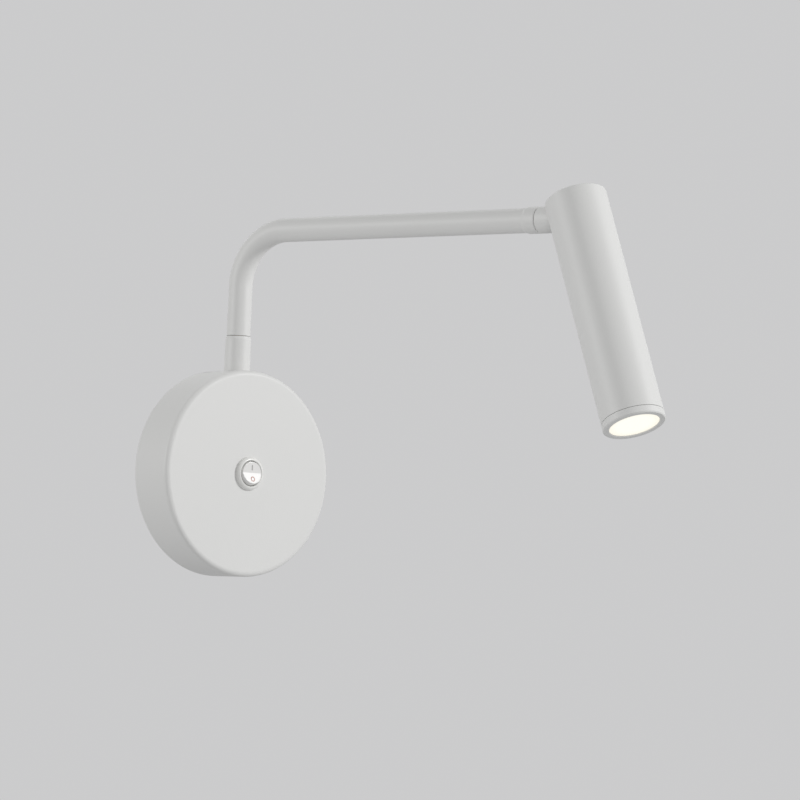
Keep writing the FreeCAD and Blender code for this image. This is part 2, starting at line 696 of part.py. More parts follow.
def tilt_yoke():
    """Plug in the head's upper end whose two cheeks carry the tilt pin."""
    top = head_top_z - yoke_recess
    plug = cylinder(head_bore / 2 - plug_clearance, Vector(0, pin_y, top), Vector(0, pin_y, top - yoke_length))
    edges = [e for e in plug.Edges if abs(e.CenterOfMass.z - top) < 1e-6 and e.Length > 1]
    plug = plug.makeChamfer(yoke_top_chamfer, edges)
    plug = plug.cut(joint_slot(top + EPS))
    plug = plug.cut(cylinder(tilt_pin_diameter / 2 + thread_clearance, Vector(-head_bore, pin_y, arm_height),
                             Vector(head_bore, pin_y, arm_height)))
    for side in (-1, 1):
        inner = side * (slot_half + cheek_thickness)
        plug = plug.cut(cylinder(counterbore_diameter / 2, Vector(inner, pin_y, arm_height),
                                 Vector(side * head_diameter, pin_y, arm_height)))
    channel = cylinder(spindle_bore / 2 + slot_clearance, Vector(0, pin_y + CABLE_OFFSET, arm_height),
                       Vector(0, pin_y + CABLE_OFFSET, top - yoke_length - EPS))
    plug = plug.cut(channel)
    start, end = YOKE_SCREW
    return plug.cut(cylinder(yoke_screw_diameter / 2 + thread_clearance, start, end))


YOKE_SCREW_HEIGHT = head_top_z - yoke_recess - yoke_length + yoke_screw_rise
YOKE_SCREW = (Vector(0, pin_y + head_bore / 2 - yoke_screw_length, YOKE_SCREW_HEIGHT),
              Vector(0, pin_y + head_diameter / 2 + EPS, YOKE_SCREW_HEIGHT))


def tilt_pin():
    """Shouldered screw across the yoke's cheeks: a flat head in one counterbore, its tip in the other."""
    seat = slot_half + cheek_thickness
    top = seat + tilt_pin_head_height
    shank = tilt_pin_diameter / 2
    rim = tilt_pin_head_diameter / 2
    profile = [(0, -top), (shank, -top), (shank, seat), (rim, seat), (rim, top - 2 * edge_break),
               (rim - 2 * edge_break, top), (0, top)]
    pin = turned(profile, Vector(0, pin_y, arm_height), X)
    slot = box((seat + tilt_pin_head_height / 2, pin_y - tilt_pin_head_diameter, arm_height - driver_slot / 2),
               (top + EPS, pin_y + tilt_pin_head_diameter, arm_height + driver_slot / 2))
    return pin.cut(slot)


def tilt_nut():
    """Thin lock nut on the pin's tip, in the other counterbore."""
    seat = Vector(-slot_half - cheek_thickness, pin_y, arm_height)
    return hex_nut(tilt_nut_flats, tilt_pin_diameter + 2 * thread_clearance, seat, Vector(-1, 0, 0), tilt_nut_height)


def tilt_washers():
    """Two friction washers between the knuckle's flats and the yoke's cheeks."""
    washers = []
    for side in (-1, 1):
        inner = Vector(side * (knuckle_width / 2 + running_clearance), pin_y, arm_height)
        outer = Vector(side * (slot_half - press_clearance), pin_y, arm_height)
        washers.append(pipe(tilt_washer_diameter / 2, tilt_pin_diameter / 2 + seat_clearance, inner, outer))
    return Part.makeCompound(washers)


def yoke_screw():
    """Grub screw that locks the yoke in the tube, on the side that faces the arm."""
    start, end = YOKE_SCREW
    outer = Vector(0, pin_y + head_diameter / 2 - edge_break, YOKE_SCREW_HEIGHT)
    body = cylinder(yoke_screw_diameter / 2, start, outer)
    return body.cut(hex_prism(yoke_screw_socket, outer.sub(Y * yoke_screw_socket), Y, yoke_screw_socket + EPS))


board_z = head_bottom_z + board_depth
sink_bottom_z = board_z + board_thickness
sink_top_z = sink_bottom_z + heat_sink_length


def trim_ring():
    """Front ring: a band that continues the tube, a lip over the lens and a threaded skirt inside the tube."""
    outer = head_diameter / 2
    lip = lens_diameter / 2 - lens_lip
    pocket = lens_diameter / 2 + seat_clearance
    skirt = head_bore / 2 - thread_clearance
    top = ring_band + skirt_length
    back = lens_recess + lens_thickness
    profile = [(lip, edge_break), (lip + edge_break, 0), (outer - ring_chamfer, 0), (outer, ring_chamfer),
               (outer, ring_band), (skirt, ring_band), (skirt, top), (skirt - skirt_wall, top),
               (skirt - skirt_wall, back), (pocket, back), (pocket, lens_recess), (lip, lens_recess)]
    return turned(profile, Vector(0, pin_y, head_bottom_z), Z)


def lens():
    """Frosted disc held between the ring's lip and the reflector."""
    seat = head_bottom_z + lens_recess
    return cylinder(lens_diameter / 2, Vector(0, pin_y, seat + thread_clearance),
                    Vector(0, pin_y, seat + lens_thickness - press_clearance))


def reflector():
    """Bright conical cup between the circuit board and the lens."""
    front = lens_recess + lens_thickness
    back = board_depth
    rim = lens_diameter / 2 - 2 * seat_clearance
    throat = emitter_width * 0.8
    waist = (rim + throat) / 2
    middle = (front + back) / 2
    profile = [(rim - reflector_wall, front), (rim, front), (rim, front + reflector_flange),
               (waist + reflector_wall, middle), (throat + reflector_wall, back), (throat, back), (waist, middle)]
    return turned(profile, Vector(0, pin_y, head_bottom_z), Z)


def led_board():
    """Round metal-core board."""
    return cylinder(board_diameter / 2, Vector(0, pin_y, board_z), Vector(0, pin_y, sink_bottom_z))


def led_emitter():
    """Square emitter package on the board's face."""
    half = emitter_width / 2
    return box((-half, pin_y - half, board_z - emitter_height), (half, pin_y + half, board_z))


def heat_sink():
    """Aluminium heat sink: a solid foot behind the board and a star of fins up to the tube's wall."""
    foot_top = sink_bottom_z + heat_sink_foot
    foot = cylinder(head_bore / 2 - thread_clearance, Vector(0, pin_y, sink_bottom_z), Vector(0, pin_y, foot_top))
    core = cylinder(heat_sink_core_diameter / 2, Vector(0, pin_y, sink_bottom_z), Vector(0, pin_y, sink_top_z))
    fins = []
    for i in range(fin_count):
        fin = box((heat_sink_core_diameter / 2 - EPS, pin_y - fin_thickness / 2, foot_top),
                  (head_bore / 2 - EPS, pin_y + fin_thickness / 2, sink_top_z))
        fin.rotate(Vector(0, pin_y, 0), Z, (i + 0.5) * 360 / fin_count)
        fins.append(fin)
    sink = fuse([foot, core] + fins)
    bore = cylinder(spindle_bore / 2, Vector(0, pin_y + CABLE_OFFSET, sink_bottom_z - EPS),
                    Vector(0, pin_y + CABLE_OFFSET, sink_top_z + EPS))
    return sink.cut(bore)


# ------------------------------------------------------------------ cables

def led_cable_base():
    """Twin lead in one sheath, from the driver round to the spindle's lower end."""
    start = Vector(led_entry_x, driver_entry_y, driver_high[2] - entry_depth)
    end = Vector(0, -post_inset, spindle_bottom_z - cable_break)
    points = [start, Vector(led_entry_x, driver_entry_y, 6.0), Vector(0, -post_inset, 24.0), end]
    return lead(points, led_cable_diameter)


def led_cable_arm():
    """The cable inside the arm, from the spindle's lower end to the roll spindle."""
    start = Vector(0, -post_inset, spindle_bottom_z)
    corner = Vector(0, -post_inset, arm_height)
    end = Vector(0, roll_spindle_end_y + cable_break, arm_height)
    return swept_tube(rounded_route([start, corner, end], lambda *_: bend_radius), led_cable_diameter)


def led_cable_joint():
    """The cable inside the joint barrel: along the roll spindle, then down out of the barrel."""
    start = Vector(0, roll_spindle_end_y, arm_height)
    corner = Vector(0, pin_y + CABLE_OFFSET, arm_height)
    end = Vector(0, pin_y + CABLE_OFFSET, arm_height - cable_drop)
    return swept_tube(rounded_route([start, corner, end], lambda *_: cable_bend), led_cable_diameter)


def led_cable_head():
    """The cable inside the head, from under the yoke through the heat sink to the board."""
    top = Vector(0, pin_y + CABLE_OFFSET, arm_height - slot_half - 2 * EPS)
    end = Vector(0, pin_y + CABLE_OFFSET, sink_bottom_z)
    return cylinder(led_cable_diameter / 2, end, top)


def neutral_lead():
    """From the left pole of the block down to the driver."""
    x = POLES[0]
    points = [Vector(x, pole_depth_y, block_low[2] + conductor_depth), Vector(x, pole_depth_y, 13.0),
              Vector(neutral_entry_x, driver_entry_y, 5.0),
              Vector(neutral_entry_x, driver_entry_y, driver_high[2] - entry_depth)]
    return lead(points, lead_diameter)


def live_lead():
    """From the right pole of the block to the upper switch blade."""
    x = POLES[1]
    tip_y = face_y + switch_depth + blade_reach - blade_lap
    z = BLADE_HEIGHTS[1] + blade_thickness / 2 + lead_diameter / 2 + thread_clearance
    points = [Vector(x, pole_depth_y, block_low[2] + conductor_depth), Vector(x, pole_depth_y, 11.0),
              Vector(x + 6.0, tip_y - 1.0, z), Vector(1.5, tip_y - 1.5, z)]
    return lead(points, lead_diameter)


def switched_lead():
    """From the lower switch blade to the driver."""
    tip_y = face_y + switch_depth + blade_reach - blade_lap
    z = BLADE_HEIGHTS[0] - blade_thickness / 2 - lead_diameter / 2 - thread_clearance
    points = [Vector(1.5, tip_y - 1.5, z), Vector(switched_entry_x, driver_entry_y, z - 1.0),
              Vector(switched_entry_x, driver_entry_y, driver_high[2] - entry_depth)]
    return lead(points, lead_diameter)


# ------------------------------------------------------------------ the pose and the assembly

BASE = (wall_bracket, base_cup, base_set_screw, post_collar, post_washer, post_nut, switch_body,
        switch_terminals, driver_pad, driver_case, driver_lid, terminal_block, terminal_inserts, neutral_lead,
        live_lead, switched_lead, led_cable_base, switch_rocker)
ARM = (arm_tube, arm_spindle, swivel_washer, swivel_nut, arm_end_sleeve, led_cable_arm)
JOINT = (joint_barrel, roll_washer, roll_nut, led_cable_joint)
HEAD = (head_tube, tilt_yoke, tilt_pin, tilt_nut, tilt_washers, yoke_screw, heat_sink, led_board, led_emitter,
        reflector, lens, trim_ring, led_cable_head)

PIN = Vector(0, pin_y, arm_height)
POST = Vector(0, -post_inset, 0)


def posed(shape, turns):
    """Applies each (point, axis, degrees) turn in order."""
    for point, axis, degrees in turns:
        shape.rotate(point, axis, degrees)
    return shape


swing = (POST, Z, rest_swing)
roll = (PIN, Y, rest_roll)
tilt = (PIN, X, -rest_tilt)

os.makedirs("parts", exist_ok=True)
for group, turns in ((BASE, ()), (ARM, (swing,)), (JOINT, (roll, swing)), (HEAD, (tilt, roll, swing))):
    for make in group:
        piece = posed(make(), turns)
        name = make.__name__
        bad = [s for s in piece.Solids if not s.isValid() or s.Volume <= 0]
        print(f"{name:24s} solids {len(piece.Solids)} volume {piece.Volume:10.1f}{' BAD' if bad else ''}")
        piece.exportStep(f"parts/{name}.step")
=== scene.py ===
"""Finishes, printed marks, small screws, threads, light and camera for the bedside wall reading lamp.

Metres, in the part's own frame: the wall plane is Y 0, the lamp stands out of it towards -Y, and Z is up.
"""
import json
import math

import bmesh
import bpy
from mathutils import Matrix, Vector
from mathutils.bvhtree import BVHTree


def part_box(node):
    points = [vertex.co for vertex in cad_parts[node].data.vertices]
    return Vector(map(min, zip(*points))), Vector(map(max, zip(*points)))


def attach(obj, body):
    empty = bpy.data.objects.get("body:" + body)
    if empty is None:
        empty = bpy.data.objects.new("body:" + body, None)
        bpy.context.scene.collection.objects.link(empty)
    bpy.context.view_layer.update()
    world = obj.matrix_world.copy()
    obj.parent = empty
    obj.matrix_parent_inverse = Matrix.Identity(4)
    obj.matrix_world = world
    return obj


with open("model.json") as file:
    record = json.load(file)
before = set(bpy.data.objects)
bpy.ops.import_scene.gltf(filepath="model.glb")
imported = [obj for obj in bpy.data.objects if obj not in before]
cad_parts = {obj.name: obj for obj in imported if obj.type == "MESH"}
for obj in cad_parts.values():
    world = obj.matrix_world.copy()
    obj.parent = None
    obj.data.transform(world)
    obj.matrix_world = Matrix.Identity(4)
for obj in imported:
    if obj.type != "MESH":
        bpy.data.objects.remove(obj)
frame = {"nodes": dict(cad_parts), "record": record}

MM = 0.001
scene = bpy.context.scene
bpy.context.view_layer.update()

# ---- where the photograph was taken from ----
CAMERA_PLACE = Vector((-1.11543, -1.42408, -0.07356))
CAMERA_RIGHT = Vector((0.75284, -0.65682, 0.04276))
CAMERA_UP = Vector((-0.07377, -0.01964, 0.99708))
CAMERA_LENS = 159.94             # mm, on a sensor of SENSOR_WIDTH
SENSOR_WIDTH = 36.0              # mm
CLIP_START, CLIP_END = 0.05, 50.0
IMAGE_WIDTH = 800
IMAGE_MIDDLE = (398.70, 401.13)  # pixel that the lens points at

# ---- screws in the base, in mm ----
TERMINAL_SCREW = dict(head_radius=1.7, head_height=1.3, shank_radius=1.25, shank_length=2.4, slot_width=0.6)
BLOCK_SCREW = dict(head_radius=2.2, head_height=1.5, shank_radius=1.2, shank_length=3.6, slot_width=0.6)
EARTH_SCREW = dict(head_radius=3.8, head_height=2.4, shank_radius=1.95, shank_length=2.2, slot_width=0.9)

# ---- and where they sit ----
POLE_OFFSET = 8.0 * MM           # terminal screws, from the block's middle along X
WELL_OFFSET = 3.6 * MM           # and along Z
TERMINAL_SEAT = 0.5 * MM         # under their heads, in front of the brass barrels
BLOCK_SCREW_SEAT = 3.0 * MM      # under the fixing screw's head, in front of the block's back
EARTH_X, EARTH_Z = 26.0 * MM, 22.0 * MM
BRACKET_THICKNESS = 1.5 * MM
EARTH_WASHER_THICKNESS = 0.8 * MM

# ---- marks printed on the rocker ----
MARK_BACK = 0.01 * MM            # off the rocker's face
MARK_FRONT = 0.04 * MM
RAY_START = -1.0                 # Y of a place in front of the whole lamp

# sockets of a Mix node that mixes colours; their names repeat, once for each kind of data
MIX_FACTOR, MIX_FIRST, MIX_SECOND, MIX_RESULT = 0, 6, 7, 2


# ------------------------------------------------------------------ nodes and shader maths

class Value:
    """A socket in a tree of nodes. Arithmetic on it adds the Math nodes that it needs."""

    def __init__(self, nodes, socket):
        self.nodes = nodes
        self.socket = socket

    def _math(self, operation, *values):
        return self.nodes.node("ShaderNodeMath", dict(operation=operation), dict(enumerate(values)))

    def __add__(self, other):
        return self._math("ADD", self, other)

    def __sub__(self, other):
        return self._math("SUBTRACT", self, other)

    def __rsub__(self, other):
        return self._math("SUBTRACT", other, self)

    def __mul__(self, other):
        return self._math("MULTIPLY", self, other)

    def __truediv__(self, other):
        return self._math("DIVIDE", self, other)

    def __rtruediv__(self, other):
        return self._math("DIVIDE", other, self)

    __radd__ = __add__
    __rmul__ = __mul__

    def sine(self):
        return self._math("SINE", self)

    def larger(self, other):
        """The larger of two values."""
        return self._math("MAXIMUM", self, other)

    def smooth(self, low, high):
        """0 below low, 1 above high, with a smooth step between."""
        return self.nodes.node("ShaderNodeMapRange", dict(interpolation_type="SMOOTHSTEP"),
                               {"Value": self, "From Min": low, "From Max": high})


class Nodes:
    """Adds nodes to one tree: a finish's, the world's or a Geometry Nodes tree."""

    def __init__(self, tree):
        self.tree = tree

    def node(self, kind, settings=None, inputs=None, output=0):
        """Adds a node: its settings first, then its sockets, by name or number. A list links each of its
        values to the same socket. Returns one output, where the node has any."""
        made = self.tree.nodes.new(kind)
        for key, value in (settings or {}).items():
            setattr(made, key, value)
        for key, given in (inputs or {}).items():
            for value in given if isinstance(given, list) else [given]:
                if isinstance(value, Value):
                    self.tree.links.new(value.socket, made.inputs[key])
                else:
                    made.inputs[key].default_value = value
        return Value(self, made.outputs[output]) if made.outputs else None


class Finish(Nodes):
    """One material on a Principled shader, with helpers for the nodes behind it."""

    def __init__(self, name, **constants):
        self.material = bpy.data.materials.new(name)
        self.material.use_nodes = True
        super().__init__(self.material.node_tree)
        self.shader = self.tree.nodes["Principled BSDF"]
        for key, value in constants.items():
            socket = key.replace("_", " ").title().replace("Ior", "IOR")
            self.shader.inputs[socket].default_value = value
        self.place = self.node("ShaderNodeTexCoord", output="Object")

    def feed(self, socket, value):
        self.tree.links.new(value.socket, self.shader.inputs[socket])
        return self

    def noise(self, scale, detail, place=None):
        return self.node("ShaderNodeTexNoise", None,
                         {"Vector": place or self.place, "Scale": scale, "Detail": detail})

    def cells(self, scale, feature="F1"):
        return self.node("ShaderNodeTexVoronoi", dict(feature=feature),
                         {"Vector": self.place, "Scale": scale}, output="Distance")

    def stretched(self, scale):
        """Object coordinates scaled by a different amount along each axis."""
        return self.node("ShaderNodeMapping", dict(vector_type="TEXTURE"),
                         {"Vector": self.place, "Scale": tuple(1 / s for s in scale)})

    def distance_from(self, point):
        return self.node("ShaderNodeVectorMath", dict(operation="DISTANCE"),
                         {0: self.place, 1: point}, output="Value")

    def along(self, point, direction):
        """Signed distance from a point along a direction."""
        offset = self.node("ShaderNodeVectorMath", dict(operation="SUBTRACT"), {0: self.place, 1: point})
        return self.node("ShaderNodeVectorMath", dict(operation="DOT_PRODUCT"), {0: offset, 1: direction},
                         output="Value")

    def mix(self, factor, first, second):
        """Colour between two colours, each a triple or a Value."""
        def socket(colour):
            return colour if isinstance(colour, Value) else (*colour, 1.0)
        return self.node("ShaderNodeMix", dict(data_type="RGBA"),
                         {MIX_FACTOR: factor, MIX_FIRST: socket(first), MIX_SECOND: socket(second)},
                         output=MIX_RESULT)

    def relief(self, height, depth, strength):
        """Bump whose height of 1 stands depth metres proud."""
        return self.feed("Normal", self.node("ShaderNodeBump", None,
                                             {"Strength": strength, "Distance": depth, "Height": height}))


# ------------------------------------------------------------------ finishes

def powder_coat(name, light, shade):
    """Baked white powder: fine orange peel, a slow drift in tone, and a faint speckle."""
    finish = Finish(name, specular_ior_level=0.42)
    peel = finish.noise(scale=1500, detail=3)
    speckle = finish.noise(scale=5200, detail=1)
    drift = finish.noise(scale=14, detail=2)
    finish.feed("Base Color", finish.mix(drift * 0.6 + speckle * 0.4, light, shade))
    finish.feed("Roughness", 0.38 + peel * 0.16)
    return finish.relief(peel + speckle * 0.3, depth=0.05 * MM, strength=0.6)


def moulded_plastic(name, light, shade, roughness, grain=2600, depth=0.02 * MM):
    """Injection-moulded plastic with a fine spark texture and slight flow marks."""
    finish = Finish(name, specular_ior_level=0.5)
    spark = finish.noise(scale=grain, detail=2)
    flow = finish.noise(scale=60, detail=3, place=finish.stretched((1, 1, 0.3)))
    finish.feed("Base Color", finish.mix(flow, light, shade))
    finish.feed("Roughness", roughness + spark * 0.12)
    return finish.relief(spark, depth, strength=0.5)


def plated_steel(name, light, shade, roughness=0.28, brush=(400, 3000, 400)):
    """Sheared and plated metal: rolling marks one way, as fine as brush says, under a cloudy plate."""
    finish = Finish(name, metallic=1.0)
    rolling = finish.noise(scale=1, detail=3, place=finish.stretched(brush))
    cloud = finish.noise(scale=260, detail=3)
    stain = finish.noise(scale=55, detail=2).smooth(0.45, 0.75)
    finish.feed("Base Color", finish.mix(cloud * 0.7 + stain * 0.3, light, shade))
    finish.feed("Roughness", roughness + rolling * 0.14 + stain * 0.06)
    return finish.relief(rolling, depth=0.01 * MM, strength=0.5)


def turned_metal(name, light, shade, point, direction, pitch=0.25 * MM):
    """Lathe-turned metal: fine rings round the piece's own axis."""
    finish = Finish(name, metallic=1.0)
    rings = (finish.along(point, direction) * (2 * math.pi / pitch)).sine() * 0.5 + 0.5
    tarnish = finish.noise(scale=420, detail=3)
    finish.feed("Base Color", finish.mix(tarnish, light, shade))
    finish.feed("Roughness", 0.2 + rings * 0.1 + tarnish * 0.12)
    return finish.relief(rings, depth=0.006 * MM, strength=0.5)


def sheathed_lead(name, light, shade):
    """Extruded insulation: satin and slightly wavy, with a little chalk from handling."""
    finish = Finish(name, specular_ior_level=0.4)
    chalk = finish.noise(scale=700, detail=3)
    waver = finish.noise(scale=90, detail=2)
    finish.feed("Base Color", finish.mix(waver * 0.7 + chalk * 0.3, light, shade))
    finish.feed("Roughness", 0.42 + chalk * 0.16)
    return finish.relief(waver, depth=0.04 * MM, strength=0.4)


def foam_pad():
    """Closed-cell foam, with painted shade in the middle of each cell, where its relief dips into a hollow.
    """
    finish = Finish("closed_cell_foam", specular_ior_level=0.2)
    cells = finish.cells(scale=2600)
    # painted shade: the colour darkens towards each cell's middle, the hollow of the relief
    finish.feed("Base Color", finish.mix(cells, (0.02, 0.02, 0.02), (0.07, 0.07, 0.07)))
    finish.feed("Roughness", 0.85 + cells * 0.1)
    return finish.relief(cells, depth=0.1 * MM, strength=0.7)


def board_mask():
    """White solder mask over copper, with the edges of the copper areas just showing."""
    finish = Finish("white_solder_mask", specular_ior_level=0.5)
    copper = finish.cells(scale=420, feature="DISTANCE_TO_EDGE").smooth(0.03, 0.09)
    finish.feed("Base Color", finish.mix(copper, (0.70, 0.72, 0.70), (0.84, 0.85, 0.83)))
    finish.feed("Roughness", 0.3 + copper * 0.1)
    return finish.relief(copper, depth=0.03 * MM, strength=0.8)


def bright_metallising():
    """Vacuum-metallised plastic: a mirror with a little haze."""
    finish = Finish("bright_metallising", metallic=1.0)
    haze = finish.noise(scale=300, detail=2)
    finish.feed("Base Color", finish.mix(haze, (0.86, 0.87, 0.88), (0.78, 0.79, 0.80)))
    finish.feed("Roughness", 0.1 + haze * 0.08)
    return finish.relief(haze, depth=0.02 * MM, strength=0.3)


def phosphor():
    """The emitter's yellow gel, lit."""
    finish = Finish("phosphor_gel", emission_strength=1.0)
    grain = finish.noise(scale=6000, detail=2)
    finish.feed("Base Color", finish.mix(grain, (0.90, 0.70, 0.18), (0.80, 0.58, 0.10)))
    finish.feed("Emission Color", finish.mix(grain, (1.0, 0.85, 0.55), (1.0, 0.80, 0.45)))
    finish.feed("Roughness", 0.35 + grain * 0.2)
    return finish.relief(grain, depth=0.02 * MM, strength=0.4)


def lit_lens(centre, radius):
    """Frosted disc lit from behind: a little warmer and dimmer towards its rim, with a prism grain."""
    finish = Finish("lit_frosted_lens", emission_strength=0.90, specular_ior_level=0.3)
    prisms = finish.cells(scale=1500)
    rim = (finish.distance_from(centre) / radius).smooth(0.62, 1.0)
    lit = finish.mix(rim, (1.0, 0.98, 0.91), (0.97, 0.925, 0.80))
    finish.feed("Emission Color", finish.mix(prisms * 0.12, lit, (0.90, 0.82, 0.70)))
    finish.feed("Base Color", finish.mix(prisms, (0.24, 0.235, 0.22), (0.20, 0.195, 0.18)))
    finish.feed("Roughness", 0.35 + prisms * 0.2)
    return finish.relief(prisms, depth=0.08 * MM, strength=0.5)


def mark_ink(name, light, shade):
    """Printed ink, worn a little."""
    finish = Finish(name, specular_ior_level=0.4)
    wear = finish.noise(scale=2500, detail=3)
    finish.feed("Base Color", finish.mix(wear, light, shade))
    return finish.feed("Roughness", 0.4 + wear * 0.2)


def middle(node):
    """The middle of a node's box."""
    low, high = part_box(node)
    return (low + high) / 2


arm_line = (middle("roll_nut") - middle("arm_end_sleeve")).normalized()
lens_low, lens_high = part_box("lens")
lens_radius = (lens_high.x - lens_low.x) / 2

FINISHES = {
    "white_coat": powder_coat("white_powder_coat", (0.800, 0.800, 0.788), (0.765, 0.766, 0.755)),
    "yoke_coat": powder_coat("yoke_powder_coat", (0.76, 0.76, 0.75), (0.71, 0.71, 0.70)),
    "switch_white": moulded_plastic("switch_housing_plastic", (0.86, 0.86, 0.84), (0.83, 0.83, 0.81),
                                    roughness=0.24),
    "rocker_white": moulded_plastic("rocker_plastic", (0.87, 0.865, 0.85), (0.84, 0.835, 0.82),
                                    roughness=0.2),
    "driver_plastic": moulded_plastic("driver_case_plastic", (0.66, 0.66, 0.65), (0.60, 0.60, 0.59),
                                      roughness=0.45, grain=1400, depth=0.06 * MM),
    "block_plastic": moulded_plastic("terminal_block_plastic", (0.74, 0.73, 0.68), (0.68, 0.67, 0.62),
                                     roughness=0.3, grain=1800),
    "nylon": moulded_plastic("nylon_washer", (0.70, 0.69, 0.64), (0.64, 0.63, 0.58), roughness=0.35),
    "zinc_steel": plated_steel("zinc_plated_steel", (0.66, 0.68, 0.71), (0.56, 0.57, 0.58)),
    "screw_steel": plated_steel("plated_screw_steel", (0.62, 0.63, 0.65), (0.52, 0.53, 0.54), roughness=0.24),
    "spring_steel": plated_steel("spring_steel", (0.42, 0.42, 0.43), (0.34, 0.33, 0.32), roughness=0.3),
    "tinned_brass": plated_steel("tinned_blades", (0.68, 0.67, 0.63), (0.58, 0.56, 0.50), roughness=0.26),
    "raw_aluminium": plated_steel("milled_aluminium", (0.74, 0.75, 0.76), (0.66, 0.67, 0.68), roughness=0.3,
                                  brush=(900, 900, 60)),
    "brass": plated_steel("brass_barrels", (0.78, 0.60, 0.28), (0.66, 0.48, 0.20), roughness=0.24),
    "turned_brass": turned_metal("turned_brass", (0.78, 0.61, 0.30), (0.66, 0.49, 0.22),
                                 point=middle("roll_nut"), direction=arm_line),
    "bright_reflector": bright_metallising(),
    "board_white": board_mask(),
    "phosphor": phosphor(),
    "frosted_lens": lit_lens(middle("lens"), lens_radius),
    "pad_foam": foam_pad(),
    "cable_sheath": sheathed_lead("white_cable_sheath", (0.70, 0.70, 0.68), (0.62, 0.62, 0.60)),
    "lead_blue": sheathed_lead("blue_lead", (0.045, 0.13, 0.42), (0.03, 0.09, 0.32)),
    "lead_brown": sheathed_lead("brown_lead", (0.17, 0.07, 0.03), (0.12, 0.05, 0.02)),
}

for subpart in frame["record"]["subparts"]:
    mesh = frame["nodes"][subpart["node"]].data
    mesh.materials.clear()
    mesh.materials.append(FINISHES[subpart["material_slot"]].material)


# ------------------------------------------------------------------ pieces made here

def finished(mesh, name, body, slot, finish=None):
    """Puts a mesh in the scene as a piece that rides on a body, with the slot's finish or one of its own."""
    piece = bpy.data.objects.new(name, mesh)
    scene.collection.objects.link(piece)
    mesh.materials.clear()
    mesh.materials.append((finish or FINISHES[slot]).material)
    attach(piece, body)


def mesh_of(work, name):
    """Turns finished bmesh work into a mesh, and frees it."""
    bmesh.ops.recalc_face_normals(work, faces=work.faces)
    mesh = bpy.data.meshes.new(name)
    work.to_mesh(mesh)
    work.free()
    return mesh


def surface_of(node):
    """A node's surface, for rays to meet."""
    mesh = frame["nodes"][node].data
    mesh.calc_loop_triangles()
    return BVHTree.FromPolygons([v.co for v in mesh.vertices], [t.vertices for t in mesh.loop_triangles])


def rocker_mark(name, rings, ink):
    """A mark laid on the rocker's face: rings of (x, z) points, the first one the outline and the next, if
    any, a hole with as many points. Each point drops onto the rocker's surface."""
    surface = surface_of("switch_rocker")
    work = bmesh.new()
    layers = []
    for ring in rings:
        for lift in (MARK_BACK, MARK_FRONT):
            layer = []
            for x, z in ring:
                hit = surface.ray_cast(Vector((x, RAY_START, z)), Vector((0, 1, 0)))[0]
                layer.append(work.verts.new((x, hit.y - lift, z)))
            layers.append(layer)
    count = len(rings[0])
    pairs = [(0, 1)] if len(rings) == 1 else [(0, 1), (1, 3), (3, 2), (2, 0)]
    for first, second in pairs:
        for i in range(count):
            j = (i + 1) % count
            work.faces.new((layers[first][i], layers[first][j], layers[second][j], layers[second][i]))
    if len(rings) == 1:
        work.faces.new(layers[0])
        work.faces.new(list(reversed(layers[1])))
    finished(mesh_of(work, name), name, "rocker", "rocker_white", ink)


def bar_outline(centre_z, width, height, steps=8):
    """An upright bar with round ends, as (x, z) points."""
    r = width / 2
    ends = ((1, centre_z + height / 2 - r), (-1, centre_z - height / 2 + r))
    return [(side * r * math.cos(angle), z + side * r * math.sin(angle))
            for side, z in ends for angle in (math.pi * i / steps for i in range(steps + 1))]


def ring_outline(centre_z, radius, steps=40):
    """A circle, as (x, z) points."""
    angles = (2 * math.pi * i / steps for i in range(steps))
    return [(radius * math.cos(angle), centre_z + radius * math.sin(angle)) for angle in angles]


grey_ink = mark_ink("grey_mark_ink", (0.36, 0.35, 0.34), (0.50, 0.49, 0.48))
red_ink = mark_ink("red_mark_ink", (0.52, 0.26, 0.22), (0.62, 0.40, 0.36))
bar = bar_outline(centre_z=2.9 * MM, width=0.65 * MM, height=2.8 * MM)
ring, hole = (ring_outline(centre_z=-2.8 * MM, radius=radius) for radius in (1.3 * MM, 0.8 * MM))
rocker_mark("on_mark", [bar], grey_ink)
rocker_mark("off_mark", [ring, hole], red_ink)


# ------------------------------------------------------------------ repeated pieces by Geometry Nodes

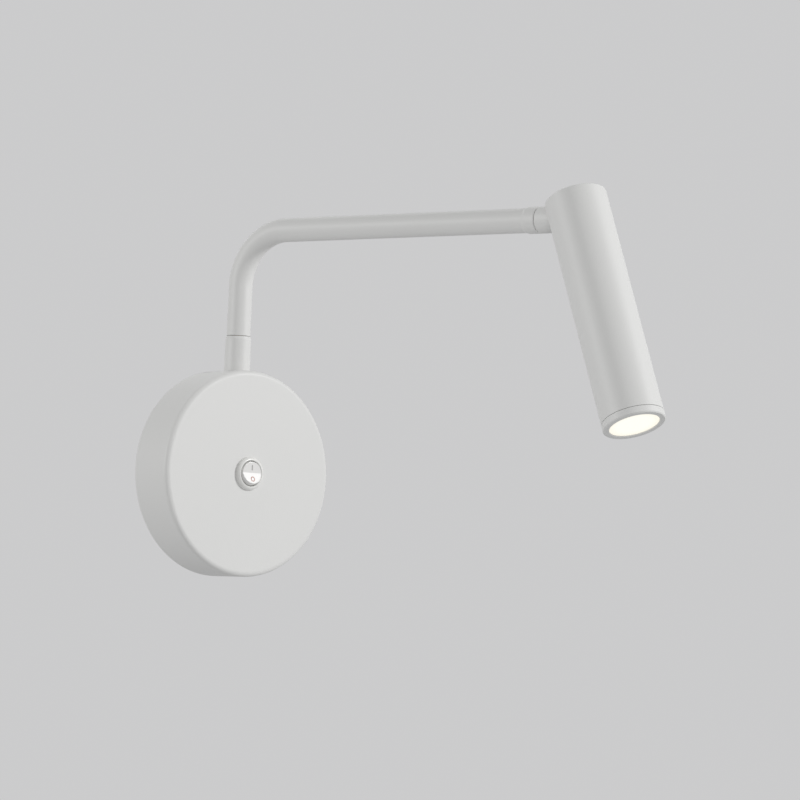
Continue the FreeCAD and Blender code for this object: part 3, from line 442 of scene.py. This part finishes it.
class Rig(Nodes):
    """A Geometry Nodes tree with named sizes as its inputs."""

    def __init__(self, name, sizes):
        super().__init__(bpy.data.node_groups.new(name, "GeometryNodeTree"))
        add = self.tree.interface.new_socket
        add("Geometry", in_out="INPUT", socket_type="NodeSocketGeometry")
        self.keys = {size: add(size, in_out="INPUT", socket_type="NodeSocketFloat").identifier
                     for size in sizes}
        self.keys["Finish"] = add("Finish", in_out="INPUT", socket_type="NodeSocketMaterial").identifier
        add("Geometry", in_out="OUTPUT", socket_type="NodeSocketGeometry")
        self.entry = self.tree.nodes.new("NodeGroupInput")

    def given(self, name):
        """One of the tree's own inputs."""
        return Value(self, self.entry.outputs[name])

    def vector(self, x=0.0, y=0.0, z=0.0):
        return self.node("ShaderNodeCombineXYZ", None, {"X": x, "Y": y, "Z": z})

    def raised(self, geometry, height):
        return self.node("GeometryNodeTransform", None,
                         {"Geometry": geometry, "Translation": self.vector(z=height)})

    def close(self, geometry):
        """Ends the tree with real geometry in the finish that it is given."""
        real = self.node("GeometryNodeRealizeInstances", None, {"Geometry": geometry})
        real = self.node("GeometryNodeSetMaterial", None,
                         {"Geometry": real, "Material": self.given("Finish")})
        self.node("NodeGroupOutput", None, {"Geometry": real})
        return self

    def grow(self, points, sizes, finish):
        """Runs the tree on a set of points and returns the result as a plain mesh."""
        seed = bpy.data.meshes.new("seed")
        seed.from_pydata([tuple(p) for p in points], [], [])
        carrier = bpy.data.objects.new("carrier", seed)
        scene.collection.objects.link(carrier)
        modifier = carrier.modifiers.new("rig", "NODES")
        modifier.node_group = self.tree
        for size, value in sizes.items():
            modifier[self.keys[size]] = value
        modifier[self.keys["Finish"]] = finish.material
        bpy.context.view_layer.update()
        evaluated = carrier.evaluated_get(bpy.context.evaluated_depsgraph_get())
        mesh = bpy.data.meshes.new_from_object(evaluated)
        bpy.data.objects.remove(carrier)
        return mesh


HEAD_SIDES, SHANK_SIDES = 28, 20
CROWN_TAPER = 0.8                # radius of the head's top edge, to the head's radius
CROWN_HEIGHT = 0.25              # height of the tapered crown, to the head's height
SLOT_LENGTH = 3.0                # of the block that cuts the slot, to the head's radius
SLOT_HEIGHT = 0.9                # of the same block, to the head's height
SLOT_MIDDLE = 1.2                # height of its middle, to the head's height


def screw_rig():
    """Slotted cheese-head screws, one on each point, heads towards the room."""
    lengths = ("Head Radius", "Head Height", "Shank Radius", "Shank Length", "Slot Width")
    rig = Rig("slotted_screws", lengths)
    head_radius, head_height, shank_radius, shank_length, slot_width = (rig.given(name) for name in lengths)
    head = rig.node("GeometryNodeMeshCylinder", None,
                    {"Vertices": HEAD_SIDES, "Radius": head_radius, "Depth": head_height})
    crown = rig.node("GeometryNodeMeshCone", None,
                     {"Vertices": HEAD_SIDES, "Radius Bottom": head_radius,
                      "Radius Top": head_radius * CROWN_TAPER, "Depth": head_height * CROWN_HEIGHT})
    body = rig.node("GeometryNodeMeshBoolean", dict(operation="UNION"),
                    {"Mesh 2": [rig.raised(head, head_height * 0.5), rig.raised(crown, head_height)]})
    slot = rig.node("GeometryNodeMeshCube", None,
                    {"Size": rig.vector(head_radius * SLOT_LENGTH, slot_width, head_height * SLOT_HEIGHT)})
    cut = rig.node("GeometryNodeMeshBoolean", dict(operation="DIFFERENCE"),
                   {"Mesh 1": body, "Mesh 2": rig.raised(slot, head_height * SLOT_MIDDLE)})
    shank = rig.node("GeometryNodeMeshCylinder", None,
                     {"Vertices": SHANK_SIDES, "Radius": shank_radius, "Depth": shank_length})
    screw = rig.node("GeometryNodeJoinGeometry", None,
                     {"Geometry": [cut, rig.raised(shank, shank_length * -0.5)]})
    screw = rig.node("GeometryNodeTransform", None,
                     {"Geometry": screw, "Rotation": (math.pi / 2, 0.0, 0.0)})
    placed = rig.node("GeometryNodeInstanceOnPoints", None,
                      {"Points": rig.given("Geometry"), "Instance": screw})
    return rig.close(placed)


THREAD_STEPS = 22                # per turn
THREAD_SIDES = 4
THREAD_RIDGE = 0.3               # radius of the ridge, to the pitch
THREAD_SINK = 0.55               # how deep its middle lies under the shank's outside, to the ridge


def thread_rig():
    """A thread: a ridge wound round the Z axis from the origin upwards."""
    sizes = ("Radius", "Pitch", "Turns", "Ridge")
    rig = Rig("wound_thread", sizes)
    radius, pitch, turns, ridge = (rig.given(name) for name in sizes)
    helix = rig.node("GeometryNodeCurveSpiral", None,
                     {"Resolution": THREAD_STEPS, "Rotations": turns, "Start Radius": radius,
                      "End Radius": radius, "Height": pitch * turns})
    section = rig.node("GeometryNodeCurvePrimitiveCircle", None,
                       {"Resolution": THREAD_SIDES, "Radius": ridge})
    wound = rig.node("GeometryNodeCurveToMesh", None,
                     {"Curve": helix, "Profile Curve": section, "Fill Caps": True})
    return rig.close(wound)


screws = screw_rig()
thread = thread_rig()


def screw_set(name, points, size):
    """Screws in the base, with the undersides of their heads on the points."""
    sizes = {key.replace("_", " ").title(): value * MM for key, value in size.items()}
    finished(screws.grow(points, sizes, FINISHES["screw_steel"]), name, "base", "screw_steel")


def thread_on(node, axis, lift, radius, length, pitch, name, body, slot):
    """A thread on an upright shank, from lift above its node's foot. It starts on the shank's -X side."""
    ridge = pitch * THREAD_RIDGE
    sizes = {"Radius": radius - ridge * THREAD_SINK, "Pitch": pitch, "Turns": length / pitch,
             "Ridge": ridge}
    mesh = thread.grow([], sizes, FINISHES[slot])
    start = Vector((axis.x, axis.y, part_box(node)[0].z + lift))
    mesh.transform(Matrix.Translation(start) @ Matrix.Rotation(math.pi, 4, "Z"))
    finished(mesh, name, body, slot)


TOOTH_DEPTH = 0.14               # to the washer's outer radius
TOOTH_POINTS = 4                 # round each tooth, of which the first two lie at its root


def toothed_washer(name, centre, inner, outer, thickness, teeth):
    """Star washer: a flat ring with teeth on its outside, from centre towards the room."""
    work = bmesh.new()
    count = teeth * TOOTH_POINTS
    corners = ((inner, 0.0, 0.0), (outer, TOOTH_DEPTH, 0.0),
               (outer, TOOTH_DEPTH, thickness), (inner, 0.0, thickness))
    rims = []
    for radius, depth, proud in corners:
        rim = []
        for i in range(count):
            angle = 2 * math.pi * i / count
            reach = radius * (1 - depth * (i % TOOTH_POINTS in (0, 1)))
            rim.append(work.verts.new((centre.x + reach * math.cos(angle), centre.y - proud,
                                       centre.z + reach * math.sin(angle))))
        rims.append(rim)
    for rim, following in zip(rims, rims[1:] + rims[:1]):
        for i in range(count):
            j = (i + 1) % count
            work.faces.new((rim[i], rim[j], following[j], following[i]))
    finished(mesh_of(work, name), name, "base", "tinned_brass")


block_middle = middle("terminal_block")
terminal_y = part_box("terminal_inserts")[0].y - TERMINAL_SEAT
screw_set("terminal_screws", [(block_middle.x + i * POLE_OFFSET, terminal_y, block_middle.z + k * WELL_OFFSET)
                              for i in (-1, 1) for k in (-1, 1)], TERMINAL_SCREW)
block_screw_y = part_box("terminal_block")[1].y - BLOCK_SCREW_SEAT
screw_set("block_screw", [(block_middle.x, block_screw_y, block_middle.z)], BLOCK_SCREW)

earth_place = Vector((EARTH_X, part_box("wall_bracket")[1].y - BRACKET_THICKNESS, EARTH_Z))
screw_set("earth_screw", [earth_place - Vector((0, EARTH_WASHER_THICKNESS, 0))], EARTH_SCREW)
toothed_washer("earth_washer", earth_place, inner=2.1 * MM, outer=4.4 * MM, thickness=EARTH_WASHER_THICKNESS,
               teeth=10)

post_axis = middle("post_nut")
grub_axis = Vector((0, middle("base_set_screw").y, 0))
thread_on("post_collar", post_axis, lift=0.2 * MM, radius=5.0 * MM, length=0.9 * MM, pitch=0.5 * MM,
          name="post_thread", body="base", slot="screw_steel")
thread_on("arm_spindle", post_axis, lift=0.5 * MM, radius=3.5 * MM, length=1.2 * MM, pitch=0.5 * MM,
          name="spindle_thread", body="arm", slot="turned_brass")
thread_on("base_set_screw", grub_axis, lift=1.4 * MM, radius=2.0 * MM, length=5.2 * MM, pitch=0.7 * MM,
          name="set_screw_thread", body="base", slot="screw_steel")


# ------------------------------------------------------------------ floor, light and camera

FLOOR_Z = -0.30
FLOOR_RADIUS = 4.0
FLOOR_SIDES = 96
FADE_START, FADE_END = 0.7, 1.9      # distances from the floor's middle
BACKGROUND = (0.60, 0.60, 0.605)
WORLD_LEVEL = 0.40
LIGHT_AIM = (0.0, -0.1, 0.05)


def studio_floor():
    """A pale floor disc that fades into the background colour before its edge."""
    work = bmesh.new()
    bmesh.ops.create_circle(work, cap_ends=True, radius=FLOOR_RADIUS, segments=FLOOR_SIDES)
    mesh = bpy.data.meshes.new("studio_floor")
    work.to_mesh(mesh)
    work.free()
    floor = bpy.data.objects.new("studio_floor", mesh)
    floor.location = (0, 0, FLOOR_Z)
    scene.collection.objects.link(floor)
    finish = Finish("pale_floor", specular_ior_level=0.1)
    drift = finish.noise(scale=3, detail=2)
    finish.feed("Base Color", finish.mix(drift, (0.66, 0.66, 0.665), (0.64, 0.64, 0.645)))
    finish.feed("Roughness", 0.85 + drift * 0.1)
    fade = finish.distance_from((0, 0, 0)).smooth(FADE_START, FADE_END)
    clear = finish.node("ShaderNodeBsdfTransparent")
    surface = Value(finish, finish.shader.outputs["BSDF"])
    mixed = finish.node("ShaderNodeMixShader", None, {0: fade, 1: surface, 2: clear})
    finish.tree.links.new(mixed.socket, finish.tree.nodes["Material Output"].inputs["Surface"])
    mesh.materials.append(finish.material)


def studio_world(level):
    """Even grey light, and a pale background for the camera, glossy and clear rays."""
    world = bpy.data.worlds.new("studio")
    world.use_nodes = True
    world.node_tree.nodes.clear()
    studio = Nodes(world.node_tree)
    camera_ray, clear_ray, glossy_ray = (studio.node("ShaderNodeLightPath", output=f"Is {kind} Ray")
                                         for kind in ("Camera", "Transmission", "Glossy"))
    light = studio.node("ShaderNodeBackground", None, {"Color": (1.0, 1.0, 1.0, 1.0), "Strength": level})
    behind = studio.node("ShaderNodeBackground", None, {"Color": (*BACKGROUND, 1.0)})
    mixed = studio.node("ShaderNodeMixShader", None,
                        {0: camera_ray.larger(clear_ray).larger(glossy_ray), 1: light, 2: behind})
    studio.node("ShaderNodeOutputWorld", None, {"Surface": mixed})
    scene.world = world


def soft_light(name, place, size, watts):
    """A round studio light that faces the object."""
    data = bpy.data.lights.new(name, "AREA")
    data.shape = "DISK"
    data.size = size
    data.energy = watts
    lamp = bpy.data.objects.new(name, data)
    lamp.location = place
    lamp.rotation_mode = "QUATERNION"
    lamp.rotation_quaternion = (Vector(LIGHT_AIM) - Vector(place)).to_track_quat("-Z", "Y")
    scene.collection.objects.link(lamp)


def photograph_camera():
    """The camera of the photograph, whose lens points a little beside the picture's middle."""
    data = bpy.data.cameras.new("photograph_view")
    data.sensor_width = SENSOR_WIDTH
    data.lens = CAMERA_LENS
    data.shift_x = (IMAGE_WIDTH / 2 - IMAGE_MIDDLE[0]) / IMAGE_WIDTH
    data.shift_y = (IMAGE_MIDDLE[1] - IMAGE_WIDTH / 2) / IMAGE_WIDTH
    data.clip_start = CLIP_START
    data.clip_end = CLIP_END
    camera = bpy.data.objects.new("photograph_view", data)
    scene.collection.objects.link(camera)
    backwards = CAMERA_RIGHT.cross(CAMERA_UP)
    turned = Matrix((CAMERA_RIGHT, CAMERA_UP, backwards)).transposed().to_4x4()
    camera.matrix_world = Matrix.Translation(CAMERA_PLACE) @ turned
    scene.camera = camera


studio_floor()
studio_world(WORLD_LEVEL)
soft_light("key_light", place=(1.5, -2.2, 1.1), size=0.6, watts=38)
soft_light("left_light", place=(-2.2, 0.9, 0.6), size=1.0, watts=15)
soft_light("back_light", place=(0.6, 2.2, 1.6), size=1.8, watts=5)
soft_light("low_light", place=(-0.5, -1.3, -0.24), size=0.5, watts=1.2)
photograph_camera()
scene.view_settings.view_transform = "Standard"
